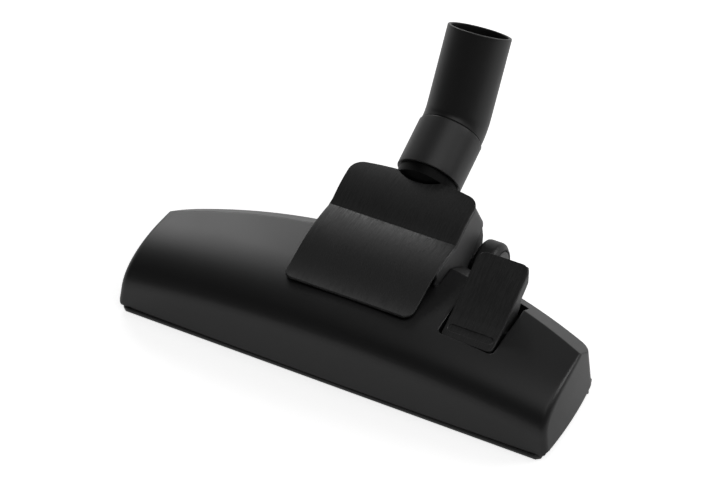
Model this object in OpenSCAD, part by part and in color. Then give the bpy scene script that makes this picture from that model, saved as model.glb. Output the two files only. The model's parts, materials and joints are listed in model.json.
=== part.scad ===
// Vacuum floor nozzle: a low head on a slotted sole, a tilting neck with a swivel elbow for the
// wand, two rear wheels, and a foot pedal that lowers two brush strips through the sole.
// X runs across the head, Y from the front edge to the rear, Z up. The sole lies on Z = 0.

/* [Head] */
// Width of the head over its end faces, at the lower edge of the shell
head_w = 273; // [262:1:285]
// Height of the crest in the middle of the head
crest_h = 46.5; // [45:0.5:49]
// Depth of the head in the middle, from the front edge to the rear wall
head_d = 94.5; // [93:0.5:97]
// Radius of the crown along the width
crown_r = 830; // [700:10:1200]
// Radius of the rear wall in plan
rear_r = 417; // [400:1:500]
// Wall of the top shell
shell_t = 2.2; // [1.8:0.1:2.6]
// Draft of the end faces, in degrees
end_draft = 4.9; // [2:0.1:6]

/* [Sole] */
// Thickness of the sole plate
sole_t = 3; // [2.6:0.1:3.4]
// Distance by which the sole stands out in front of the shell
sole_lip = 1.5; // [0.5:0.1:2.5]
// Width of the suction mouth
mouth_w = 66; // [50:1:70]
// Width of the slots for the brush strips
brush_slot_w = 8; // [7:0.5:9]
// Depth of the suction channel in the sole
channel_depth = 1.8; // [1:0.1:2.2]

/* [Brushes] */
// Distance from the end of the front bristles' row to the side of the head
front_brush_end = 23.5; // [20.5:0.5:46]
// Distance from the end of the rear bristles' row to the side of the head
rear_brush_end = 38.5; // [35.5:0.5:56]
// Travel of the brush strips
brush_travel = 5.5; // [4:0.1:5.6]
// Free length of the bristles
bristle_l = 9.8; // [8:0.1:10]

/* [Joint cover] */
// Width of the brushed cover plate
cover_w = 82; // [80:1:86]
// Thickness of the cover plate
cover_t = 1.6; // [1.2:0.1:1.8]
// Radius of the cover's front corners
cover_corner_r = 6; // [3:0.5:9]
// Radius of the cover's rear corners
cover_rear_corner_r = 9; // [6:0.5:11]
// Wall of the joint housing
housing_t = 2; // [1.6:0.1:2.2]

/* [Tilting neck] */
// Radius of the tilt drum
drum_r = 21; // [20.6:0.1:21.4]
// Wall of the tilt drum
drum_t = 2.5; // [2:0.1:3]
// Outer radius of the neck
neck_r = 14; // [13.6:0.1:14.2]
// Wall of the neck
neck_t = 2; // [1.6:0.1:2.2]
// Radius of the trunnions
trunnion_r = 5; // [4:0.1:5.5]
// Slope of the neck above the floor at rest, in degrees
neck_slope = 25.3; // [24.8:0.1:25.6]

/* [Swivel elbow] */
// Outer radius of the collar
collar_r = 20.3; // [20.1:0.1:21]
// Length of the collar
collar_l = 31.8; // [31:0.1:32]
// Bend of the elbow, in degrees
bend = 33.3; // [20:0.1:36]
// Radius of the bend along its centre line
bend_r = 24; // [22:0.5:40]
// Bore of the wand socket
wand_bore_r = 17.55; // [16:0.05:17.8]
// Depth of the wand socket
wand_depth = 42; // [30:1:45]
// Outer radius of the elbow's tube
tube_r = 19.65; // [19.4:0.05:20]
// Length of the straight upper tube
tube_l = 48.6; // [46:0.1:70]

/* [Wheels] */
// Radius of the rear wheels
wheel_r = 18; // [17:0.1:18]
// Width of a rear wheel
wheel_w = 13.5; // [10:0.5:15]
// Radius of the wheel axles
axle_r = 4; // [3:0.1:4.5]
// Radius of the hub caps
hub_cap_r = 13.6; // [10:0.1:14]

/* [Pedal] */
// Width of the pedal
pedal_w = 32; // [28:0.5:33]
// Clearance between the pedal and its pocket
pedal_gap = 1.2; // [0.8:0.1:2]
// Thickness of the pedal's walls
pedal_t = 2; // [1.6:0.1:2.4]
// Thickness of the pedal's brushed plate
plate_t = 1; // [0.8:0.1:1.2]
// Radius of the pedal's pin
pin_r = 1.5; // [1.2:0.1:2]

/* [Fits] */
// Radial clearance of a running fit
run_gap = 0.05; // [0.03:0.01:0.08]
// Gap between fixed pieces that lie beside each other
side_gap = 0.2; // [0.15:0.01:0.3]

/* [Hidden] */

eps = 0.01;
far = 400;
big_fn = 720;
fine_fn = 96;
$fn = 64;

// Head
front_wall_top = 26;
front_lean = 1.9;
crown_start = 46;
chamfer_slope = 32.7;
chamfer_y = head_d - 16.1;
end_bulge_r = 400;
end_bulge_y = 32;
corner_r = 6;
boss_r = 4;
screw_r = 1.45;
screw_head_r = 3.2;
screw_head_h = 1.4;
screw_l = 14;
screw_in = 17.5;

// Recess for the joint
recess_w = cover_w + 2;
recess_y = head_d - 37.5;
rim_t = 1.6;

// Duct and slots in the sole
front_brush_y = 16;
rear_brush_y = head_d - 24.5;
front_brush_l = head_w - 2 * front_brush_end;
rear_brush_l = head_w - 2 * rear_brush_end;
mouth_y0 = front_brush_y + 18;
mouth_y1 = rear_brush_y - 12;
strip_w = 6;
strip_end = 36.5;
front_strip_y = front_brush_y + 11.5;
rear_strip_y = rear_brush_y - 7.8;
strip_l = head_w - 2 * strip_end;
strip_t = 1.2;
screw_places = [for (side = [-1, 1], y = [front_strip_y, mouth_y1]) [side * (head_w / 2 - screw_in), y]];
strip_z = 0.3;
duct_t = 2;
duct_top = 38;
duct_floor = 17;
duct_half = mouth_w / 2 + duct_t;

// Tilting neck: the pivot, and the neck's axis a little above it
pivot = [0, head_d + 3.5, 36];
duct_end = pivot[1] - 14;
drum_half = 35;
drum_run = 0.6;
neck_lift = 6.3;
neck_reach = 37.9;
arm_t = 3.6;
arm_gap = 0.4;
arm_x = drum_half + arm_gap;
bush_t = 2;
cheek_screw = [pivot[1] - 10, pivot[2] - 9];
window = [175, 257];
shoulder_r = 18.5;
shoulder_l = 6;
shoulder_taper = 4;
axis_dir = [0, cos(neck_slope), sin(neck_slope)];
collar_base = pivot + neck_reach * axis_dir + neck_lift * [0, -sin(neck_slope), cos(neck_slope)];

// Swivel elbow
spigot_r = collar_r - 2.1;
spigot_bore_r = neck_r + run_gap;
neck_end = 30;
ring_t = 1.8;
ring_at = 22.5;
ring_depth = 1.1;
ring_out = 1.6;
seal_t = 0.8;
shoulder_t = 0.8;
bend_start = 32.8;
bend_bore_r = 15.6;

// Wheels
wheel_y = head_d + 19;
wheel_x = arm_x + arm_t + housing_t + side_gap + 0.5;
cap_t = 1.4;
tread_round = 4;

// Joint housing and cover
cheek_x = arm_x + arm_t + side_gap;
housing_head_r = screw_head_r - 0.4;
housing_screw_l = 5;
cover_gap = 0.1;
cover_front = 25;
cover_back_r = 178;
cover_back_y = pivot[1] + 20.5;
notch_r = 22;
notch_y = cover_back_y - 5.8;
cover_fold = [pivot[1] - 14.6, 56.8];

// Pedal
pedal_x = cover_w / 2 + 33.7;
pedal_pivot = [head_d - 44.5, 36];
pedal_front = pedal_pivot[0] - 22.7;
pedal_back = pedal_pivot[0] + 27.9;
pedal_front_r = 3;
pedal_back_r = 5;
pocket_w = pedal_w + 2 * pedal_gap;
pocket_front = pedal_front - 0.8;
pocket_back = 9.5;
pocket_depth_z = 27;
lift_y = pedal_pivot[0] + 22.5;
lift_z = 36;
post_r = 3;

// Brush carrier
carrier_t = 3;
carrier_z = sole_t + 2 + brush_travel + 0.1;
guide_r = 2.5;
guide_y = (front_brush_y + rear_brush_y) / 2;
guide_top = 21;
bristle_z = carrier_z - bristle_l;

// Curves
function bezier(a, b, c, d, steps) = [for (i = [0:steps]) let (t = i / steps, s = 1 - t)
    s * s * s * a + 3 * s * s * t * b + 3 * s * t * t * c + t * t * t * d];
function arc(centre, r, a0, a1, steps) = [for (i = [0:steps]) let (a = a0 + (a1 - a0) * i / steps)
    centre + r * [cos(a), sin(a)]];

// The middle section of the head, as [y, z]; inset moves it inwards by the wall
function head_section(inset) = concat(
    [[inset, -crown_r / 2], [inset, sole_t]],
    bezier([front_lean + inset, front_wall_top], [2.8 + inset, front_wall_top + 14 - inset],
        [16 + inset, crest_h - inset], [crown_start, crest_h - inset], 14),
    [[head_d + 40, crest_h - inset], [head_d + 40, -crown_r / 2]]);

module along_x(half) {
    rotate([90, 0, 90]) linear_extrude(2 * half, center = true) children();
}

module plate_x(x0, x1) {
    translate([x0, 0, 0]) rotate([90, 0, 90]) linear_extrude(x1 - x0) children();
}

module both_sides() {
    children();
    mirror([1, 0, 0]) children();
}

// A solid of the head's outer form, drawn in by inset on every side but the bottom
module head_form(inset, z0) {
    slope = [0, sin(chamfer_slope), cos(chamfer_slope)];
    reach = [0, chamfer_y, crest_h] * slope - inset;
    intersection() {
        translate([0, 0, crest_h - crown_r]) rotate([-90, 0, 0]) rotate_extrude($fn = big_fn)
            polygon([for (p = head_section(inset)) [p[1] + crown_r - crest_h, p[0]]]);
        translate((reach - rear_r) * slope) rotate([90 - chamfer_slope + 180, 0, 0])
            cylinder(r = rear_r, h = 2 * far, center = true, $fn = big_fn);
        translate([0, head_d - inset - rear_r, z0])
            cylinder(r = rear_r, h = far, $fn = big_fn);
        end_face(inset);
        mirror([1, 0, 0]) end_face(inset);
        translate([-far / 2, 0, z0]) cube([far, far, far]);
    }
}

module end_face(inset) {
    translate([head_w / 2 - inset - end_bulge_r, end_bulge_y, sole_t]) rotate([0, -end_draft, 0])
        cylinder(r = end_bulge_r, h = far, center = true, $fn = big_fn);
}

// The outline of the head on the floor
module head_outline(inset) {
    intersection() {
        translate([0, head_d - inset - rear_r]) circle(rear_r, $fn = big_fn);
        translate([head_w / 2 - inset - end_bulge_r, end_bulge_y]) circle(end_bulge_r, $fn = big_fn);
        translate([inset + end_bulge_r - head_w / 2, end_bulge_y]) circle(end_bulge_r, $fn = big_fn);
    }
}

module rounded(size, r) {
    translate([r, 0]) square([size[0] - 2 * r, size[1]]);
    translate([0, r]) square([size[0], size[1] - 2 * r]);
    for (x = [r, size[0] - r], y = [r, size[1] - r]) translate([x, y]) circle(r);
}

module recess_outline(grow) {
    translate([-recess_w / 2 - grow, recess_y - grow])
        rounded([recess_w + 2 * grow, head_d], corner_r);
}

// The pedal's pocket ends in an arc that runs along the rear wall
module pocket_outline(grow) {
    intersection() {
        translate([pedal_x - pocket_w / 2 - grow, pocket_front - grow])
            rounded([pocket_w + 2 * grow, head_d], pedal_front_r);
        translate([0, head_d - rear_r]) circle(rear_r - pocket_back + grow, $fn = big_fn);
    }
}

module shell_openings(grow) {
    recess_outline(grow);
    pocket_outline(grow);
}

module top_shell() {
    color("#202022") difference() {
        union() {
            difference() {
                head_form(0, sole_t);
                head_form(shell_t, sole_t - eps);
            }
            difference() {
                intersection() {
                    head_form(shell_t / 2, sole_t);
                    translate([0, 0, pocket_depth_z]) linear_extrude(far) shell_openings(rim_t);
                }
                over_duct = duct_top + duct_t + side_gap;
                translate([-duct_half - side_gap, 0, 0]) cube([2 * duct_half + 2 * side_gap, far, over_duct]);
            }
            intersection() {
                head_form(shell_t / 2, sole_t);
                for (p = screw_places) translate([p[0], p[1], sole_t + duct_t])
                    cylinder(r = boss_r, h = far);
            }
        }
        translate([0, 0, -eps]) linear_extrude(far) recess_outline(0);
        translate([0, 0, pocket_depth_z + rim_t]) linear_extrude(far) pocket_outline(0);
        translate([pedal_x, lift_y, 0]) cylinder(r = post_r + 0.5, h = far);
        for (p = screw_places) translate([p[0], p[1], 0]) cylinder(r = screw_r + 0.05, h = screw_l + 2);
        translate([pedal_x, pedal_pivot[0], pedal_pivot[1]]) rotate([0, 90, 0])
            cylinder(r = pin_r + run_gap, h = pocket_w + 2 * rim_t + 1, center = true);
    }
}

// Everything that is slotted through the floor of the head for the brushes and the suction mouth
module floor_slots(side) {
    for (row = [[front_brush_y, front_brush_l], [rear_brush_y, rear_brush_l]])
        translate([-row[1] / 2 - side, row[0] - brush_slot_w / 2 - side])
            square([row[1] + 2 * side, brush_slot_w + 2 * side]);
}

module mouth_outline() {
    translate([-mouth_w / 2, mouth_y0]) rounded([mouth_w, mouth_y1 - mouth_y0], 4);
}

module sole_plate() {
    channel_y = (mouth_y0 + mouth_y1) / 2;
    color("#2a2a2c") difference() {
        linear_extrude(sole_t) difference() {
            intersection() {
                head_outline(0);
                translate([-head_w / 2 + 0.5, -sole_lip]) rounded([head_w - 1, far / 2], corner_r);
            }
            floor_slots(0.5);
            mouth_outline();
        }
        translate([-head_w / 2 - 1, channel_y - 6, -eps]) cube([head_w + 2, 12, channel_depth + eps]);
        for (row = [front_strip_y, rear_strip_y])
            translate([-strip_l / 2 - side_gap, row - strip_w / 2 - side_gap, -eps])
                cube([strip_l + 2 * side_gap, strip_w + 2 * side_gap, strip_z + strip_t + eps]);
        for (side = [-1, 1], y = [18, 50.5]) translate([side * head_w / 2, y, -eps])
            cylinder(r = 3.6, h = channel_depth);
        for (p = screw_places) translate([p[0], p[1], -eps]) {
            cylinder(r = screw_r + 0.15, h = far);
            cylinder(r = screw_head_r + side_gap, h = screw_head_h + 0.2 + eps);
        }
    }
}

// Side view of the air duct, from the mouth up and back to the drum
module duct_side(wall) {
    polygon([[mouth_y0 - wall, sole_t], [mouth_y0 - wall, duct_top - 8],
        [mouth_y0 + 8 - wall, duct_top + wall], [duct_end, duct_top + wall],
        [duct_end, duct_floor - wall], [mouth_y1 + wall, duct_floor - wall],
        [mouth_y1 + wall, sole_t]]);
}

module arm_side() {
    difference() {
        union() {
            polygon([[duct_end - 4, sole_t + duct_t], [duct_end - 4, pivot[2]], [pivot[1], pivot[2] + 10],
                [cover_back_y + 3.5, pivot[2] + 9], [cover_back_y + 6, pivot[2] - 3],
                [wheel_y + 10, wheel_r], [wheel_y, wheel_r - 9], [head_d - 2, sole_t + duct_t]]);
            translate([pivot[1], pivot[2]]) circle(10);
            translate([wheel_y, wheel_r]) circle(10);
        }
        translate([wheel_y, wheel_r]) circle(axle_r + run_gap);
        translate([pivot[1], pivot[2]]) circle(trunnion_r + 2 * run_gap + bush_t);
    }
}

module chassis() {
    inside = shell_t + side_gap;
    color("#3a3a3d") difference() {
        union() {
            translate([0, 0, sole_t]) linear_extrude(duct_t) difference() {
                intersection() {
                    head_outline(inside);
                    translate([-far / 2, inside + front_lean]) square([far, far]);
                }
                floor_slots(1);
            }
            difference() {
                head_form(inside, sole_t);
                head_form(inside + rim_t, 0);
                translate([-far / 2, -far / 2, sole_t + 7]) cube([far, far, far]);
                translate([0, 0, -eps]) linear_extrude(far) recess_outline(rim_t + side_gap);
            }
            along_x(duct_half) duct_side(duct_t);
            difference() {
                translate(pivot) rotate([0, 90, 0])
                    cylinder(r = drum_r + drum_run + duct_t, h = 2 * arm_x, center = true, $fn = fine_fn);
                translate([-far / 2, 0, pivot[2] - 6]) cube([far, far, far]);
                translate([-far / 2, pivot[1] + 11, 0]) cube([far, far, far]);
            }
            both_sides() plate_x(arm_x, arm_x + arm_t) arm_side();
            for (x = [-pedal_x, pedal_x]) translate([x, guide_y, sole_t]) cylinder(r = guide_r, h = guide_top - sole_t);
        }
        along_x(mouth_w / 2) duct_inside();
        translate([-mouth_w / 2, mouth_y0, 0]) cube([mouth_w, mouth_y1 - mouth_y0, sole_t + duct_t + 1]);
        translate(pivot) rotate([0, 90, 0])
            cylinder(r = drum_r + drum_run, h = 2 * arm_x - 2 * eps, center = true, $fn = fine_fn);
        for (p = screw_places) translate([p[0], p[1], 0]) cylinder(r = screw_r + 0.15, h = sole_t + duct_t + 1);
        housing_screw_places() cylinder(r = screw_r + 0.05, h = housing_screw_l + 0.2);
    }
}

module duct_inside() {
    polygon([[mouth_y0, 0], [mouth_y0, duct_top - 9], [mouth_y0 + 9, duct_top],
        [duct_end + 4, duct_top], [duct_end + 4, duct_floor], [mouth_y1, duct_floor], [mouth_y1, 0]]);
}

module brush_carrier() {
    color("#2b2b2e") difference() {
        union() {
            translate([0, 0, carrier_z]) linear_extrude(carrier_t) {
                floor_slots(0);
                for (x = [-pedal_x, pedal_x]) translate([x - 6, front_brush_y])
                    square([12, rear_brush_y - front_brush_y]);
            }
            translate([pedal_x, lift_y, carrier_z]) cylinder(r = post_r, h = lift_z - 0.3 - carrier_z);
        }
        for (x = [-pedal_x, pedal_x]) translate([x, guide_y, 0]) cylinder(r = guide_r + 0.1, h = far);
    }
}

module bristles(y, length) {
    color("#151515") translate([-length / 2 + 1, y - 2.5, bristle_z]) cube([length - 2, 5, bristle_l]);
}

module front_bristles() {
    bristles(front_brush_y, front_brush_l);
}

module rear_bristles() {
    bristles(rear_brush_y, rear_brush_l);
}

module lint_strip(y) {
    color("#5a1c20") translate([-strip_l / 2, y - strip_w / 2, strip_z]) cube([strip_l, strip_w, strip_t]);
}

module front_lint_strip() {
    lint_strip(front_strip_y);
}

module rear_lint_strip() {
    lint_strip(rear_strip_y);
}

// A round wire swept along a helix
module coil(r, wire, height, turns, sides = 8, per_turn = 20) {
    n = turns * per_turn;
    pts = [for (i = [0:n], j = [0:sides - 1]) let (a = 360 * i / per_turn, b = 360 * j / sides,
        q = r + wire * cos(b)) [q * cos(a), q * sin(a), wire * sin(b) + height * i / n]];
    faces = concat([[for (j = [0:sides - 1]) j]], [[for (j = [0:sides - 1]) n * sides + sides - 1 - j]],
        [for (i = [0:n - 1], j = [0:sides - 1]) let (k = (j + 1) % sides)
            [i * sides + j, (i + 1) * sides + j, (i + 1) * sides + k, i * sides + k]]);
    polyhedron(pts, faces, convexity = 6);
}

module lift_spring(side) {
    wire = 0.45;
    low = sole_t + duct_t + wire + 0.05;
    color("#9a9a9a") translate([side * pedal_x, guide_y, low])
        coil(guide_r + 1.2, wire, carrier_z - wire - 0.05 - low, 3);
}

module left_lift_spring() {
    lift_spring(-1);
}

module right_lift_spring() {
    lift_spring(1);
}

// The line of the cover's top, as [y, z], in two waves that meet in a fold
function cover_line(drop) = concat(
    bezier([cover_front, 47 - drop], [cover_front + 20, 48.5 - drop], cover_fold - [33.4, drop - 1.9],
        cover_fold - [0, drop], 16),
    bezier(cover_fold - [-0.5, drop - 0.3], cover_fold - [-6.6, drop - 2.7],
        [cover_back_y - 20.5, 66.7 - drop], [cover_back_y, 68 - drop], 12));

function flip(line) = [for (i = [len(line) - 1:-1:0]) line[i]];

// The cover from above: two round front corners, two rear ones, and the bowed rear edge
module cover_plan() {
    front = [cover_w / 2 - cover_corner_r, cover_front + cover_corner_r];
    bow = [0, cover_back_y - cover_back_r];
    turn = asin((cover_w / 2 - cover_rear_corner_r) / (cover_back_r - cover_rear_corner_r));
    rear = bow + (cover_back_r - cover_rear_corner_r) * [sin(turn), cos(turn)];
    half = concat(arc(front, cover_corner_r, -90, 0, 6), arc(rear, cover_rear_corner_r, 0, 90 - turn, 8),
        arc(bow, cover_back_r, 90 - turn, 90, 6));
    difference() {
        polygon(concat(half, [for (p = flip(half)) [-p[0], p[1]]]));
        translate([0, notch_y + notch_r]) circle(notch_r, $fn = fine_fn);
    }
}

module neck_clearance() {
    free = 0.8;
    at_neck(-neck_reach) cylinder(r = neck_r + free, h = 2 * neck_reach, $fn = fine_fn);
    at_neck(-shoulder_l - shoulder_taper - free)
        cylinder(r1 = neck_r + free, r2 = shoulder_r + free, h = shoulder_taper, $fn = fine_fn);
    at_neck(-shoulder_l - free) cylinder(r = shoulder_r + free, h = shoulder_l, $fn = fine_fn);
}

module joint_cover() {
    color("#333335") difference() {
        union() {
            intersection() {
                along_x(far) polygon(concat(cover_line(0), flip(cover_line(cover_t))));
                linear_extrude(far) cover_plan();
            }
            cover_boss_places() cylinder(r = 3, h = 4);
        }
        cover_boss_places() translate([0, 0, -eps]) cylinder(r = screw_r + 0.05, h = 3);
        neck_clearance();
    }
}

module cover_boss_places() {
    z = cover_fold[1] - cover_t - housing_t - cover_gap;
    for (x = [-28, 28]) translate([x, 68, z - 0.6]) children();
}

module joint_housing() {
    drop = cover_t + cover_gap;
    half = cheek_x + housing_t;
    color("#4a4a4d") difference() {
        union() {
            intersection() {
                along_x(half) polygon(concat(cover_line(drop), flip(cover_line(drop + housing_t))));
                translate([-far / 2, recess_y + 1, 0]) cube([far, cover_back_y - recess_y - 3, far]);
            }
            both_sides() plate_x(cheek_x, half) cheek_side(drop);
            both_sides() plate_x(collar_r + 2, cheek_x + eps) translate([cover_back_y, 0])
                polygon([[-2, 65.8], [0, 64.2], [10, 47], [8, 47], [-2, 63.5]]);
        }
        translate([0, notch_y + notch_r, 0]) cylinder(r = notch_r + 1, h = far, $fn = fine_fn);
        cover_boss_places() translate([0, 0, -2]) cylinder(r = 3.2, h = 10);
        neck_clearance();
        housing_screw_places() {
            translate([0, 0, -eps]) cylinder(r = screw_r + 0.15, h = 2 * housing_t);
            translate([0, 0, -eps]) cylinder(r = housing_head_r + side_gap, h = screw_head_h + eps);
        }
    }
}

// The cheek's lower edge dips into the recess and behind the head's rear wall
module cheek_side(drop) {
    top = [for (p = cover_line(drop + eps)) if (p[0] > recess_y + 1 && p[0] < cover_back_y - 2.2) p];
    low = 22;
    translate([cover_back_y, 0]) polygon(concat([for (p = top) p - [cover_back_y, 0]],
        [[0, 64.2], [9, 47.2], [3.6, 44.8], [-3.7, 41.7], [-18.1, 27], [-21, low],
        [-34, low], [-38, 30], [-42, 40], [recess_y + 5 - cover_back_y, 42],
        [recess_y + 4.5 - cover_back_y, 46.6], [recess_y + 1 - cover_back_y, 47.2]]));
}

// Each screw goes inwards through a cheek into the arm beside it
module housing_screw_places() {
    both_sides() translate([cheek_x + housing_t, cheek_screw[0], cheek_screw[1]]) rotate([0, -90, 0])
        children();
}

// A soft lip round the duct's end, against the drum
module duct_seal() {
    lip = 0.3;
    color("#111112") difference() {
        along_x(mouth_w / 2 - side_gap) polygon([[70, duct_floor + side_gap], [70, duct_top - side_gap],
            [duct_end + 4, duct_top - side_gap], [duct_end + 4, duct_floor + side_gap]]);
        along_x(mouth_w / 2 - 1.6) polygon([[60, duct_floor + 1.6], [60, duct_top - 1.6],
            [duct_end + 9, duct_top - 1.6], [duct_end + 9, duct_floor + 1.6]]);
        translate(pivot) rotate([0, 90, 0])
            cylinder(r = drum_r + lip, h = 3 * drum_half, center = true, $fn = fine_fn);
    }
}

module at_neck(t) {
    translate(collar_base + t * axis_dir) rotate([neck_slope - 90, 0, 0]) children();
}

// The neck with the shoulder that the collar runs against
module neck_outside() {
    rotate_extrude($fn = fine_fn) polygon([[0, -neck_reach], [neck_r, -neck_reach],
        [neck_r, -shoulder_l - shoulder_taper], [shoulder_r, -shoulder_l],
        [shoulder_r, -0.3], [neck_r, -0.3], [neck_r, neck_end], [0, neck_end]]);
}

module tilt_neck() {
    color("#232325") difference() {
        union() {
            translate(pivot) rotate([0, 90, 0]) difference() {
                cylinder(r = drum_r, h = 2 * drum_half, center = true, $fn = fine_fn);
                cylinder(r = drum_r - drum_t, h = 2 * (drum_half - drum_t), center = true, $fn = fine_fn);
            }
            difference() {
                at_neck(0) neck_outside();
                translate(pivot) rotate([0, 90, 0])
                    cylinder(r = drum_r - drum_t, h = 2 * (drum_half - drum_t), center = true, $fn = fine_fn);
            }
            translate(pivot) rotate([0, 90, 0]) cylinder(r = trunnion_r, h = 2 * (arm_x + arm_t), center = true);
        }
        at_neck(-neck_reach) cylinder(r = neck_r - neck_t, h = far, $fn = fine_fn);
        translate(pivot) rotate([0, 90, 0]) cylinder(r = drum_r - drum_t, h = 2 * (drum_half - drum_t), center = true, $fn = fine_fn);
        along_x(drum_half - drum_t) translate([pivot[1], pivot[2]])
            polygon(concat([[0, 0]], arc([0, 0], 2 * drum_r, window[0], window[1], 3)));
        at_neck(ring_at) difference() {
            cylinder(r = neck_r + 1, h = ring_t + 0.2);
            cylinder(r = neck_r - ring_depth, h = 3 * ring_t, center = true);
        }
    }
}

module bush(side) {
    color("#c9c6bc") translate([side * (arm_x + arm_t / 2), pivot[1], pivot[2]]) rotate([0, 90, 0]) difference() {
        cylinder(r = trunnion_r + run_gap + bush_t, h = arm_t, center = true);
        cylinder(r = trunnion_r + run_gap, h = 2 * arm_t, center = true);
    }
}

module left_bush() {
    bush(-1);
}

module right_bush() {
    bush(1);
}

module snap_ring() {
    color("#b8b8b8") at_neck(ring_at + 0.1) difference() {
        cylinder(r = neck_r + ring_out, h = ring_t, $fn = fine_fn);
        translate([0, 0, -1]) cylinder(r = neck_r - ring_depth + 0.05, h = 3 * ring_t, $fn = fine_fn);
    }
}

module neck_seal() {
    color("#111112") at_neck(neck_end + 0.1) difference() {
        cylinder(r = neck_r - 0.3, h = seal_t, $fn = fine_fn);
        translate([0, 0, -1]) cylinder(r = neck_r - neck_t + 0.2, h = 3, $fn = fine_fn);
    }
}

module collar() {
    color("#2a2a2c") at_neck(0) rotate_extrude($fn = fine_fn)
        polygon([[neck_r + 0.4, 0], [collar_r - 0.6, 0], [collar_r, 0.6], [collar_r, collar_l - 1.2],
            [collar_r - 1.2, collar_l], [spigot_r + 0.1, collar_l], [spigot_r + 0.1, 1.8],
            [neck_r + 0.4, 1.8]]);
}

// The elbow is drawn upright and then laid along the neck's axis
module after_bend() {
    translate([0, -bend_r, bend_start]) rotate([bend, 0, 0]) translate([0, bend_r, 0]) children();
}

module bend_sweep(r) {
    translate([0, -bend_r, bend_start]) rotate([0, 90, 0]) rotate([0, 0, 90])
        rotate_extrude(angle = bend, $fn = fine_fn) translate([bend_r, 0]) circle(r, $fn = fine_fn);
}

module elbow_tube() {
    run_in = 0.5;
    step = 0.1;
    color("#1b1b1d") at_neck(0) difference() {
        union() {
            translate([0, 0, 2]) cylinder(r = spigot_r, h = bend_start - 2, $fn = fine_fn);
            translate([0, 0, bend_start - shoulder_t])
                cylinder(r = tube_r - step, h = shoulder_t + run_in, $fn = fine_fn);
            bend_sweep(tube_r);
            after_bend() translate([0, 0, -run_in])
                cylinder(r = tube_r - step, h = tube_l + run_in, $fn = fine_fn);
        }
        cylinder(r = spigot_bore_r, h = neck_end + 1, $fn = fine_fn);
        cylinder(r = neck_r - neck_t, h = bend_start + run_in, $fn = fine_fn);
        translate([0, 0, ring_at - 0.2])
            cylinder(r = neck_r + ring_out + 0.3, h = ring_t + 0.6, $fn = fine_fn);
        bend_sweep(bend_bore_r);
        after_bend() translate([0, 0, -run_in]) cylinder(r = bend_bore_r - step, h = tube_l, $fn = fine_fn);
        after_bend() translate([0, 0, tube_l - wand_depth])
            cylinder(r = wand_bore_r, h = far, $fn = fine_fn);
    }
}

module wheel() {
    color("#1d1d1f") translate([wheel_x, wheel_y, wheel_r]) rotate([0, 90, 0]) rotate_extrude($fn = fine_fn)
        polygon(concat([[axle_r + run_gap, 0], [wheel_r - tread_round, 0]],
            arc([wheel_r - tread_round, tread_round], tread_round, -60, 0, 4),
            arc([wheel_r - tread_round, wheel_w - tread_round], tread_round, 0, 60, 4),
            [[hub_cap_r + 1.4, wheel_w], [hub_cap_r + 0.2, wheel_w - cap_t],
                [axle_r + 3, wheel_w - cap_t], [axle_r + 3, wheel_w - cap_t - 2.6],
                [axle_r + run_gap, wheel_w - cap_t - 2.6]]));
}

module right_wheel() {
    wheel();
}

module left_wheel() {
    mirror([1, 0, 0]) wheel();
}

module axle() {
    color("#a8a8a8") translate([arm_x + 0.2, wheel_y, wheel_r]) rotate([0, 90, 0]) {
        reach = wheel_x + wheel_w - cap_t - arm_x - 0.5;
        cylinder(r = axle_r, h = reach);
        translate([0, 0, reach - 1.8]) cylinder(r = axle_r + 2, h = 1.8);
    }
}

module right_axle() {
    axle();
}

module left_axle() {
    mirror([1, 0, 0]) axle();
}

module hub_cap() {
    color("#38383b") translate([wheel_x + wheel_w - cap_t + 0.02, wheel_y, wheel_r]) rotate([0, 90, 0])
        rotate_extrude($fn = fine_fn) polygon([[0, 0], [hub_cap_r, 0], [hub_cap_r, cap_t - 0.4],
            [hub_cap_r - 1, cap_t], [hub_cap_r - 3, cap_t], [hub_cap_r - 4, cap_t - 0.5], [0, cap_t - 0.5]]);
}

module right_hub_cap() {
    hub_cap();
}

module left_hub_cap() {
    mirror([1, 0, 0]) hub_cap();
}

// The pedal's top line from the front foot to the rear edge, as seen from the pivot
function pedal_top(drop) = [for (p = [[pedal_front - pedal_pivot[0], 4.4], [-16, 6.4], [-8, 9.5],
    [0, 13.8], [pedal_back - pedal_pivot[0], 29.5]]) pedal_pivot + p - [0, drop]];

module pedal_span(side) {
    translate([pedal_x, 0, 0]) along_x(pedal_w / 2 - side) children();
}

// The pedal from above, with its round corners
module pedal_plan(side) {
    x = pedal_w / 2 - side;
    half = concat(arc([x - pedal_front_r, pedal_front + side + pedal_front_r], pedal_front_r, -90, 0, 4),
        arc([x - pedal_back_r, pedal_back - side - pedal_back_r], pedal_back_r, 0, 90, 6));
    translate([pedal_x, 0]) polygon(concat(half, [for (p = flip(half)) [-p[0], p[1]]]));
}

module pedal() {
    color("#262628") difference() {
        union() {
            difference() {
                pedal_span(0) polygon(concat([[pedal_front + 0.3, 37.2]], pedal_top(plate_t),
                    [for (p = [[29.3, 24.5], [28.8, 22.2], [26.6, 19.6], [21.5, 16], [17, 13.3],
                    [15, 8], [10, 2.5], [4, -3], [-4, -3], [-12, -0.6]]) pedal_pivot + p]));
                pedal_span(pedal_t) translate(pedal_pivot) polygon([[-20.4, -20], [-20.4, 2.2],
                    [-16, 4], [-8, 7], [0, 11.2], [25.8, 25.5], [30, 14], [30, -20]]);
            }
            pedal_span(0) translate(pedal_pivot) circle(4);
            pedal_span(pedal_w / 2 - 3) translate([lift_y, lift_z]) polygon([[-3, 2], [0, 0], [2, 2],
                [2, 25], [-3, 22.8]]);
        }
        pedal_span(-1) translate(pedal_pivot) circle(pin_r + run_gap);
    }
}

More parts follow.
